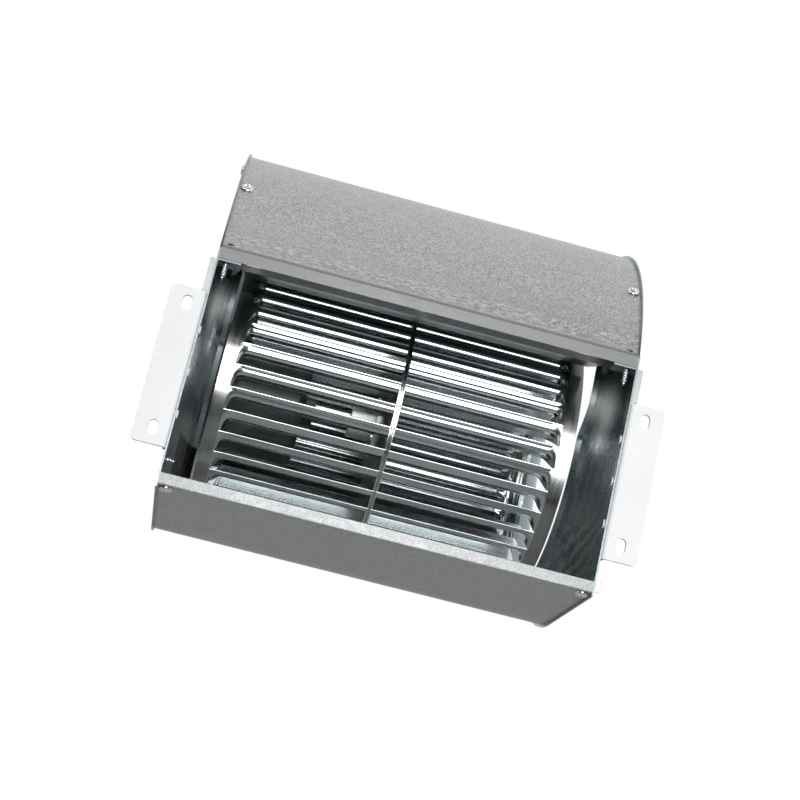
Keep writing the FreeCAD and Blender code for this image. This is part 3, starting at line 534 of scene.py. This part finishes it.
    def rubs_and_highlight(self, graph: Graph) -> Value:
        """Short bright marks of the bending tool just over the lip; their pale colour also paints the
        highlight along the bend.
        """
        _, y, z = graph.parts(graph.place())
        broken = graph.noise(graph.place(MARKS.rub_scale), 1.0, 2.0).step(*ZONES.rub_gaps)
        near = z.step(*ZONES.rub_foot) * z.step(*ZONES.rub_top)
        return broken * near * y.step(*ZONES.rub_depth) * MARKS.rub_and_highlight_cover


@dataclass(frozen=True)
class RolledStrip:
    """Bright strip of the blades and rings, with lines along its length."""

    name: str
    tone: float
    rough: float = 0.2
    along: Triple = (6.0, 700.0, 700.0)
    cloud_scale: float = 35.0
    grain_scale: float = 1500.0
    bump_depth: float = 0.00003
    relief: float = 0.22
    tint: Triple = (0.0, 0.004, 0.006)

    def build(self) -> bpy.types.Material:
        """Lines along the strip in colour and roughness, a fine grain, and darker colour close to the disc.
        """
        made, graph = material(self.name)
        lines = graph.noise(graph.place(self.along, AXIS), 1.0, 3.0) - 0.5
        clouds = graph.noise(graph.place(), self.cloud_scale, 2.0) - 0.5
        grain = graph.noise(graph.place(), self.grain_scale, 1.0) - 0.5
        share = (lines * 0.5 + clouds * 0.4 + grain * 0.35 + 0.5).step(0.15, 0.85)
        colour = graph.blend(share, *shades(self.tone, 0.75, 1.2, self.tint))
        # Darker colour close to the disc
        seam = abs(graph.parts(graph.place())[0]).step(*ZONES.near_disc_side)
        colour = graph.blend(seam, colour, grey(MARKS.seam))
        graph.finish(Base_Color=colour, Metallic=1.0, Roughness=self.rough + lines * 0.16 + clouds * 0.12,
                     Normal=graph.bump(lines * 0.6 + grain * 0.2, self.bump_depth, self.relief))
        return made


@dataclass(frozen=True)
class Turned:
    """Plated or ground steel with fine rings about the wheel axis, or even grain."""

    name: str
    tone: float
    rough: float = 0.25
    rings: float = 0.0
    ring_scale: float = 9000.0
    grain_scale: float = 900.0
    cloud_scale: float = 120.0
    bump_depth: float = 0.00003
    relief: float = 0.5
    tint: Triple = (0.0, 0.0, 0.0)

    def build(self) -> bpy.types.Material:
        """Grain everywhere, and tool rings: a sine of the distance from the axis."""
        made, graph = material(self.name)
        _, y, z = graph.parts(graph.place(about=AXIS))
        tool = graph.math("SINE", graph.reach(y, z) * self.ring_scale) * self.rings
        grain = graph.noise(graph.place(), self.grain_scale, 3.0) - 0.5
        clouds = graph.noise(graph.place(), self.cloud_scale, 2.0) - 0.5
        share = (grain * 0.5 + clouds * 0.7 + 0.5).step(0.2, 0.8)
        colour = graph.blend(share, *shades(self.tone, 0.78, 1.15, self.tint))
        graph.finish(Base_Color=colour, Metallic=1.0, Roughness=self.rough + clouds * 0.2,
                     Normal=graph.bump(grain + tool, self.bump_depth, self.relief))
        return made


@dataclass(frozen=True)
class Painted:
    """Dark satin paint over a drawn motor shell, with a little orange peel."""

    name: str
    colour: tuple[float, float, float, float] = (0.025, 0.026, 0.028, 1.0)
    cloud_scale: float = 60.0
    peel_scale: float = 700.0
    bump_depth: float = 0.00006

    def build(self) -> bpy.types.Material:
        """Paint with dust-like clouds in its colour and a soft ripple."""
        made, graph = material(self.name)
        spot = graph.place()
        clouds = graph.noise(spot, self.cloud_scale, 4.0)
        peel = graph.noise(spot, self.peel_scale, 2.0)
        dusty = tuple(part * 1.9 + 0.004 for part in self.colour[:3]) + (1.0,)
        colour = graph.blend(clouds.step(0.4, 0.7), self.colour, dusty)
        graph.finish(Base_Color=colour, Metallic=0.0, Roughness=0.42 + clouds * 0.15,
                     Coat_Weight=0.2, Normal=graph.bump(peel, self.bump_depth, 0.5))
        return made


@dataclass(frozen=True)
class DieCast:
    """Plain cast light alloy: grainy skin, slightly darker in its pits."""

    name: str
    tone: float = 0.42
    pit_scale: float = 1300.0
    cloud_scale: float = 90.0
    bump_depth: float = 0.0001

    def build(self) -> bpy.types.Material:
        """A pitted grain in colour, roughness and height."""
        made, graph = material(self.name)
        spot = graph.place()
        pits = graph.noise(spot, self.pit_scale, 4.0, 0.7)
        clouds = graph.noise(spot, self.cloud_scale, 3.0)
        colour = graph.blend(pits.step(0.35, 0.65), grey(self.tone * 0.7), grey(self.tone * 1.1))
        colour = graph.blend(clouds.step(0.55, 0.8) * 0.4, colour, grey(self.tone * 0.8))
        graph.finish(Base_Color=colour, Metallic=1.0, Roughness=0.4 + pits * 0.25,
                     Normal=graph.bump(pits, self.bump_depth, 0.6))
        return made


FINISHES = {finish.name: finish for finish in (
    Galvanised("housing_steel", 0.3, rough=0.3, speckle=0.2, creases_and_painted_light=True, relief=0.12,
               tint=(-0.045, 0.0, 0.014)),
    Galvanised("cover_steel", 0.43, rough=0.42, metal=0.65, speckle=2.2, spread=0.3,
               bend_marks_and_painted_light=True, painted_light_and_shade_inside=True),
    # Darker copy of the sheet for the scroll wrap: its lower tone paints shade on the lower sheet
    Galvanised("wrap_steel_painted_shade", 0.37, rough=0.42, metal=0.5, speckle=1.6, painted_light_and_shade_inside=True),
    # Near-black copy of the sheet: painted shade under the cover's lip
    Galvanised("cutoff_steel_painted_shade", 0.06, rough=0.36, speckle=0.3, relief=0.2),
    # Near-white, non-metallic zinc sheet: a lit copy of the sheet, painted light on the brackets
    Galvanised("bracket_steel", 0.97, rough=0.5, contrast=0.02, metal=0.0, speckle=0.2, cut_edges_and_painted_shadow=True),
    RolledStrip("blade_strip", 0.68, rough=0.17, tint=(-0.04, 0.0, 0.009)),
    RolledStrip("ring_steel", 0.5, rough=0.2, along=(500.0, 30.0, 30.0), tint=(0.012, 0.004, 0.0)),
    Galvanised("disc_steel", 0.34, speckle=0.3, bright_rim=True),
    Turned("hub_zinc", 0.75, rough=0.4, rings=0.4),
    Turned("fastener_steel", 0.72, rough=0.22, tint=(0.0, 0.004, 0.01)),
    Painted("motor_paint"),
    DieCast("motor_cast"),
    Turned("shaft_steel", 0.62, rough=0.18, rings=0.2),
)}

# Nodes whose finish differs from that of their slot; both are darker copies of the sheet, painted shade
OWN_FINISH = {"scroll_wrap": "wrap_steel_painted_shade", "cutoff_plate": "cutoff_steel_painted_shade"}


class Wardrobe:
    """Builds each finish once and puts it on nodes and pieces."""

    def __init__(self) -> None:
        """Starts with nothing built."""
        self.built: dict[str, bpy.types.Material] = {}

    def get(self, finish: str) -> bpy.types.Material:
        """The material of a finish, built when it is first asked for."""
        if finish not in self.built:
            self.built[finish] = FINISHES[finish].build()
        return self.built[finish]

    def dress_frame(self) -> None:
        """Gives every node of the frame the finish of its sub-part's slot, or the one that OWN_FINISH gives
        it.
        """
        for subpart in frame["record"]["subparts"]:
            node = frame["nodes"][subpart["node"]]
            finish = OWN_FINISH.get(subpart["node"], subpart["material_slot"])
            for slot in node.material_slots:
                slot.material = self.get(finish)
            log.info("node %s dressed in %s", subpart["node"], finish)


def grid_faces(rows: int, columns: int, wrap: bool = False) -> np.ndarray:
    """Quads of a grid of rows by columns points.

    Args:
        rows: Points along the first direction.
        columns: Points along the second direction.
        wrap: Whether the second direction closes on itself.

    Returns:
        Corner numbers, four to a face.
    """
    spans = columns if wrap else columns - 1
    row, column = np.meshgrid(np.arange(rows - 1), np.arange(spans), indexing="ij")
    after = (column + 1) % columns
    quads = np.stack([row * columns + column, row * columns + after,
                      (row + 1) * columns + after, (row + 1) * columns + column], axis=-1)
    return quads.reshape(-1, 4)


def piece(name: str, shells: Iterable[tuple[np.ndarray, np.ndarray]], body: str, slot: str,
          wardrobe: Wardrobe) -> bpy.types.Object:
    """Makes one smooth object of several point and face arrays and lets it ride on a body.

    Args:
        name: Name of the piece.
        shells: Pairs of points (n, 3) and faces (m, 4).
        body: Body of the frame it moves with.
        slot: Material slot of the record.
        wardrobe: Source of the material.

    Returns:
        The new object, at the origin.
    """
    points, faces, start = [], [], 0
    for shell_points, shell_faces in shells:
        points.append(shell_points.reshape(-1, 3))
        faces.append(shell_faces + start)
        start += len(points[-1])
    mesh = bpy.data.meshes.new(name)
    mesh.from_pydata(np.concatenate(points).tolist(), [], np.concatenate(faces).tolist())
    mesh.validate()
    mesh.polygons.foreach_set("use_smooth", np.ones(len(mesh.polygons), dtype=bool))
    mesh.materials.append(wardrobe.get(slot))
    made = bpy.data.objects.new(name, mesh)
    bpy.context.scene.collection.objects.link(made)
    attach(made, body)
    return made


def weld(thing: bpy.types.Object, reach: float = 1e-6) -> None:
    """Merges the points of a mesh that lie on each other and turns its faces outwards."""
    shape = bmesh.new()
    shape.from_mesh(thing.data)
    bmesh.ops.remove_doubles(shape, verts=shape.verts, dist=reach)
    bmesh.ops.recalc_face_normals(shape, faces=shape.faces)
    shape.to_mesh(thing.data)
    shape.free()


@dataclass
class BladeDrum:
    """One lanced strip: plain hoops at its edges, blades folded out of it between them."""

    side: Side
    tip_radius: float = 80 * MM
    gauge: float = 0.6 * MM
    count: int = 36
    first_blade: float = math.radians(5.5)
    start: float = 0.3 * MM
    near_hoop: float = 0.4 * MM
    far_hoop: float = 99.7 * MM
    end: float = 104.7 * MM
    inner_radius: float = 66 * MM
    fold_radius: float = 5 * MM
    land: float = 3.4 * MM
    lean: float = math.radians(20)
    hollow: float = 0.35 * MM
    near_ramp: float = 0.6 * MM
    far_ramp: float = 7.5 * MM
    beside_ramp: float = 0.5 * MM
    hollow_skew: float = 1.4
    samples: int = 25
    land_samples: int = 10
    arc_samples: int = 12
    ramp_samples: int = 9
    middle_samples: int = 6

    def section(self) -> tuple[np.ndarray, np.ndarray]:
        """Blade section as radius and angle below its tip, evenly along its length.

        It is a slightly hollow land that leans inward from the tip, an arc that goes on from it to
        the level, and a flat flap inward.
        """
        outer = self.tip_radius - self.gauge * 0.75
        part = np.linspace(0.0, 1.0, self.land_samples)[:-1]
        hollow = self.hollow * np.sin(math.pi * part ** self.hollow_skew)
        land_in = outer - self.land * math.tan(self.lean) * part - hollow
        foot = outer - self.land * math.tan(self.lean)
        turn = np.linspace(self.lean, math.pi / 2, self.arc_samples)
        centre = foot - self.fold_radius * math.cos(self.lean)
        rise = -self.land + self.fold_radius * math.sin(self.lean)
        radial = np.concatenate([land_in, centre + self.fold_radius * np.cos(turn), [self.inner_radius]])
        across = np.concatenate([-self.land * part, rise - self.fold_radius * np.sin(turn),
                                 [rise - self.fold_radius]])
        run = np.concatenate([[0.0], np.cumsum(np.hypot(np.diff(radial), np.diff(across)))])
        even = np.linspace(0.0, run[-1], self.samples)
        radial = np.interp(even, run, radial)
        across = np.interp(even, run, across)
        return np.hypot(radial, across), np.arctan2(across, radial)

    def stations(self) -> tuple[np.ndarray, np.ndarray]:
        """Distances along the axis, and how far the blade is folded at each.

        The fold rises as a smooth step over a ramp at each end of the blade. The stations just beside
        the ramps keep the shading of the long faces between them even.
        """
        ends = np.linspace(0.0, 1.0, self.ramp_samples)
        near = self.near_hoop + self.near_ramp * ends
        far = self.far_hoop - self.far_ramp * ends[::-1]
        middle = np.linspace(near[-1] + self.beside_ramp, far[0] - self.beside_ramp, self.middle_samples)
        along = np.concatenate([[self.start], near, middle, far, [self.end]])
        rise = np.minimum((along - self.near_hoop) / self.near_ramp, (self.far_hoop - along) / self.far_ramp)
        share = np.clip(rise, 0.0, 1.0)
        return along, share * share * (3 - 2 * share)

    def shells(self) -> list[tuple[np.ndarray, np.ndarray]]:
        """Grid of each blade: the flat strip turned into the folded section by the share."""
        radius, angle = self.section()
        along, share = self.stations()
        pitch = 2 * math.pi / self.count
        flat = -pitch * np.linspace(0.0, 1.0, self.samples)
        flat_radius = self.tip_radius - self.gauge / 2
        fold = share[:, None]
        r = flat_radius * (1 - fold) + radius[None, :] * fold
        a = flat[None, :] * (1 - fold) + angle[None, :] * fold
        x = np.broadcast_to(along[:, None], r.shape) * self.side.value
        faces = grid_faces(*r.shape)
        made = []
        for blade in range(self.count):
            turn = math.pi - self.first_blade - blade * pitch
            y = AXIS.y + r * np.cos(turn - a)
            z = AXIS.z + r * np.sin(turn - a)
            made.append((np.stack([x, y, z], axis=-1), faces))
        return made

    def build(self, wardrobe: Wardrobe) -> bpy.types.Object:
        """Makes the strip and gives it its thickness."""
        name = f"blade_strip_{self.side.name.lower()}"
        made = piece(name, self.shells(), WHEEL, "blade_strip", wardrobe)
        weld(made)
        wall = made.modifiers.new("wall", "SOLIDIFY")
        wall.thickness = self.gauge
        wall.offset = 0.0
        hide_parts(f"blade_drum_{self.side.name.lower()}")
        log.info("%s: %d blades", name, self.count)
        return made


@dataclass
class PanScrew:
    """Sheet-metal screw: domed head with a cross recess, threaded shank with a point."""

    length: float
    head_radius: float = 3.8 * MM
    head_height: float = 2.4 * MM
    shank_radius: float = 1.9 * MM
    thread: float = 0.45 * MM
    pitch: float = 1.4 * MM
    recess: float = 1.3 * MM
    dome: float = 3.2
    arm_half: float = 0.5 * MM
    arm_wall: float = 0.22 * MM
    arm_reach: float = 0.56
    arm_end: float = 0.5 * MM
    ridge_slope: float = 3.2
    point: float = 1.6
    head_rings: int = 15
    head_turns: int = 48
    shank_rings: int = 84
    shank_turns: int = 22

    def head(self) -> np.ndarray:
        """Points of the head by ring and turn.

        The height is a flat dome; inside the recess it falls where the turn is near one of the four
        arms and the distance is within the arm's reach.
        """
        share = np.linspace(0.0, 1.0, self.head_rings)[:, None]
        turn = np.linspace(0.0, 2 * math.pi, self.head_turns, endpoint=False)[None, :]
        radius = self.head_radius * np.sin(share * math.pi / 2) * np.ones_like(turn)
        height = self.head_height * np.power(1 - np.power(radius / self.head_radius, self.dome), 0.5)
        arm = np.abs(np.mod(turn + math.pi / 4, math.pi / 2) - math.pi / 4) * radius
        inside = np.clip((self.arm_half - arm) / self.arm_wall, 0.0, 1.0)
        inside = inside * np.clip((self.arm_reach * self.head_radius - radius) / self.arm_end, 0.0, 1.0)
        height = height - self.recess * inside
        return np.stack([radius * np.cos(turn), radius * np.sin(turn), height], axis=-1)

    def shank(self) -> np.ndarray:
        """Points of the shank by station and turn.

        The radius is the core plus a ridge where the height, less the pitch times the turn, is near
        a whole pitch; both shrink over the point.
        """
        along = np.linspace(0.0, 1.0, self.shank_rings)[:, None]
        turn = np.linspace(0.0, 2 * math.pi, self.shank_turns, endpoint=False)[None, :]
        height = -self.length * along * np.ones_like(turn)
        phase = np.mod(height / self.pitch + turn / (2 * math.pi), 1.0)
        ridge = np.clip(1.0 - np.abs(phase - 0.5) * self.ridge_slope, 0.0, 1.0)
        core = self.shank_radius - self.thread
        taper = np.clip((self.length + height) / (self.point * self.shank_radius), 0.02, 1.0)
        radius = (core + self.thread * ridge) * np.power(taper, 0.8)
        return np.stack([radius * np.cos(turn), radius * np.sin(turn), height], axis=-1)

    def shells(self, seat: Matrix) -> list[tuple[np.ndarray, np.ndarray]]:
        """Head, underside and shank in their place.

        Args:
            seat: Turns the screw's own Z outwards and moves its seat to the place.

        Returns:
            Points and faces of the three shells.
        """
        matrix = np.array(seat)
        head = self.head()
        made = []
        for points in (head, self.underside(head[-1]), self.shank()):
            placed = points @ matrix[:3, :3].T + matrix[:3, 3]
            made.append((placed, grid_faces(*points.shape[:2], wrap=True)))
        return made

    def underside(self, edge: np.ndarray) -> np.ndarray:
        """Flat underside of the head, from its edge in to the shank."""
        share = np.linspace(1.0, 0.3, 3)[:, None, None]
        flat = edge[None, :, :] * share
        flat[:, :, 2] = 0.0
        return flat


def axis_turn(direction: Vector, at: Vector) -> Matrix:
    """Matrix that stands a piece's own Z along a direction at a point."""
    return Matrix.Translation(at) @ direction.to_track_quat("Z", "Y").to_matrix().to_4x4()


@dataclass
class Fasteners:
    """All sheet-metal screws of the blower, in their holes.

    Each of the arms is an angle from the rear, in degrees, and the distance of its foot from the axis.
    """

    corner_x: float = 118.5 * MM
    corner_y: float = 5.5 * MM
    short: float = 8.4 * MM
    long: float = 12.0 * MM
    upper_seat: float = 127.9 * MM
    lower_seat: float = -6.8 * MM
    cover_radius: float = 142.4 * MM
    cover_turn: float = math.radians(38.5)
    spider_face: float = -126 * MM
    motor_circle: float = 26.4 * MM
    arms: tuple[tuple[float, float], ...] = ((215.0, 140 * MM), (100.0, 136 * MM), (10.0, 106 * MM))

    def pairs(self) -> dict[str, list[Matrix]]:
        """Seats of the screws that the housing has on both sides."""
        out = Vector((0.0, -math.cos(self.cover_turn), math.sin(self.cover_turn)))
        cover = AXIS + out * self.cover_radius
        places = {
            "cover_screws": (out, cover.y, cover.z),
            "upper_corner_screws": (Vector((0, 0, 1)), self.corner_y, self.upper_seat),
            "lower_corner_screws": (Vector((0, 0, -1)), self.corner_y, self.lower_seat),
        }
        return {name: [axis_turn(way, Vector((side.value * self.corner_x, y, z))) for side in Side]
                for name, (way, y, z) in places.items()}

    def spider(self) -> dict[str, list[Matrix]]:
        """Seats of the screws of the motor spider."""
        seats: dict[str, list[Matrix]] = {"spider_foot_screws": [], "motor_screws": []}
        for degrees, reach in self.arms:
            turn = math.radians(degrees)
            for name, radius in (("spider_foot_screws", reach), ("motor_screws", self.motor_circle)):
                y = AXIS.y + radius * math.cos(turn)
                z = AXIS.z + radius * math.sin(turn)
                seats[name].append(axis_turn(Vector((-1, 0, 0)), Vector((self.spider_face, y, z))))
        return seats

    def build(self, wardrobe: Wardrobe) -> None:
        """Makes each set of screws and puts it in the place of its node."""
        lengths = {"upper_corner_screws": self.long}
        for node, seats in {**self.pairs(), **self.spider()}.items():
            screw = PanScrew(lengths.get(node, self.short))
            shells = [shell for seat in seats for shell in screw.shells(seat)]
            made = piece(f"{node}_cut", shells, HOUSING, "fastener_steel", wardrobe)
            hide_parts(node)
            log.info("%s: %d screws", made.name, len(seats))


@dataclass(frozen=True)
class Lamp:
    """Soft rectangular lamp: its place, the point that it faces, its two sides and its watts."""

    name: str
    at: Triple
    aim: Triple
    size: tuple[float, float]
    power: float

    def build(self) -> None:
        """Adds the lamp to the scene."""
        data = bpy.data.lights.new(self.name, "AREA")
        data.shape = "RECTANGLE"
        data.size, data.size_y = self.size
        data.energy = self.power
        made = bpy.data.objects.new(self.name, data)
        made.location = self.at
        made.rotation_euler = (Vector(self.aim) - Vector(self.at)).to_track_quat("-Z", "Y").to_euler()
        bpy.context.scene.collection.objects.link(made)


LAMPS = (
    Lamp("front", (0.08, -1.0, 0.03), (0.08, 0.05, 0.03), (0.5, 0.85), 8.4),
    Lamp("left_box", (-0.62, -0.8, 0.5), (0.1, 0.05, 0.05), (0.3, 0.3), 1.9),
    Lamp("right_box", (0.78, -0.8, 0.5), (-0.1, 0.05, 0.05), (0.3, 0.3), 1.9),
)


@dataclass
class Studio:
    """Camera at the photograph's angle, soft lamps, a pale floor, a dark curtain and a white surround."""

    eye_mm: Triple = (-87.3, -945.7, -190.3)
    yaw: float = math.radians(4.96)
    pitch: float = math.radians(15.5)
    roll: float = math.radians(13.23)
    lens: float = 79.37
    sensor: float = 36.0
    floor_height: float = -0.32
    floor_half: float = 6.0
    floor_greys: tuple[float, float] = (0.58, 0.62)
    level: float = 0.6
    flag_y: float = -1.5
    flag_top: float = 2.1
    flag_top_y: float = -1.0
    flag_half: float = 2.2
    flag_bend: float = 0.55
    flag_lift: float = 0.002
    flag_greys: tuple[float, float] = (0.04, 0.055)
    apron_y: float = -0.3
    cool: Triple = (0.0, 0.012, 0.017)

    def camera(self) -> None:
        """Stands the camera at the eye, turned by yaw and pitch and rolled about its view."""
        flat = math.cos(self.pitch)
        forward = Vector((math.sin(self.yaw) * flat, math.cos(self.yaw) * flat, math.sin(self.pitch)))
        level = Vector((math.cos(self.yaw), -math.sin(self.yaw), 0.0))
        upright = level.cross(forward)
        right = level * math.cos(self.roll) + upright * math.sin(self.roll)
        up = upright * math.cos(self.roll) - level * math.sin(self.roll)
        turn = Matrix((right, up, -forward)).transposed()
        data = bpy.data.cameras.new("camera")
        data.lens = self.lens
        data.sensor_width = self.sensor
        made = bpy.data.objects.new("camera", data)
        made.matrix_world = Matrix.Translation(Vector(self.eye_mm) * MM) @ turn.to_4x4()
        bpy.context.scene.collection.objects.link(made)
        bpy.context.scene.camera = made

    def staged(self, name: str, corners: Sequence[Triple], faces: Sequence[tuple[int, ...]],
               finish: bpy.types.Material) -> None:
        """Adds one mesh of the set, which isn't part of the object.

        Args:
            name: Name of the mesh.
            corners: Its points.
            faces: Corner numbers of its faces.
            finish: Its material.
        """
        mesh = bpy.data.meshes.new(name)
        mesh.from_pydata(corners, [], faces)
        mesh.materials.append(finish)
        made = bpy.data.objects.new(name, mesh)
        bpy.context.scene.collection.objects.link(made)

    def world(self) -> None:
        """White surround to the camera and in reflections, and a plain level for the rest."""
        world = bpy.data.worlds.new("surround")
        bpy.context.scene.world = world
        world.use_nodes = True
        graph = Graph(world.node_tree)
        seen = graph.most(*(graph.make("ShaderNodeLightPath", output=f"Is {kind} Ray")
                            for kind in ("Camera", "Glossy", "Transmission")))
        strength = seen * (1.0 - self.level) + self.level
        shade = graph.make("ShaderNodeBackground", inputs={"Color": WHITE, "Strength": strength})
        graph.node("ShaderNodeOutputWorld", inputs={"Surface": shade})

    def flag(self) -> None:
        """Curtain from the floor up behind the camera and over it: metal shows a dark front.

        The camera sees it white, so that it doesn't stand in the picture from behind.
        """
        foot, top, wide = self.floor_height + self.flag_lift, self.flag_top, self.flag_half
        rows = [(self.apron_y, foot), (self.flag_y, foot), (self.flag_y, top * self.flag_bend),
                (self.flag_top_y, top)]
        corners = [(x, y, z) for y, z in rows for x in (-wide, wide)]
        finish, graph = material("flag")
        weave = graph.noise(graph.place(), 40.0, 2.0)
        dark, light = (grey(level, self.cool) for level in self.flag_greys)
        graph.finish_white(graph.blend(weave, dark, light))
        self.staged("flag", corners, [(0, 1, 3, 2), (2, 3, 5, 4), (4, 5, 7, 6)], finish)

    def floor(self) -> None:
        """Pale floor under the object and under the camera."""
        half = self.floor_half
        around = ((-half, -half), (half, -half), (half, half), (-half, half))
        corners = [(x, y, self.floor_height) for x, y in around]
        finish, graph = material("floor")
        cloud = graph.noise(graph.place(), 3.0, 2.0)
        dark, light = (grey(level) for level in self.floor_greys)
        graph.finish(Base_Color=graph.blend(cloud, dark, light), Roughness=0.7)
        self.staged("floor", corners, [(0, 1, 2, 3)], finish)

    def build(self) -> None:
        """Sets the whole studio up."""
        bpy.context.scene.view_settings.view_transform = "Standard"
        self.camera()
        self.world()
        self.floor()
        self.flag()
        for lamp in LAMPS:
            lamp.build()
        log.info("studio set")


def main() -> None:
    """Builds the studio and the dressed object in order."""
    Studio().build()
    wardrobe = Wardrobe()
    wardrobe.dress_frame()
    for side in Side:
        BladeDrum(side).build(wardrobe)
    Fasteners().build(wardrobe)


if __name__ == "__main__":
    main()
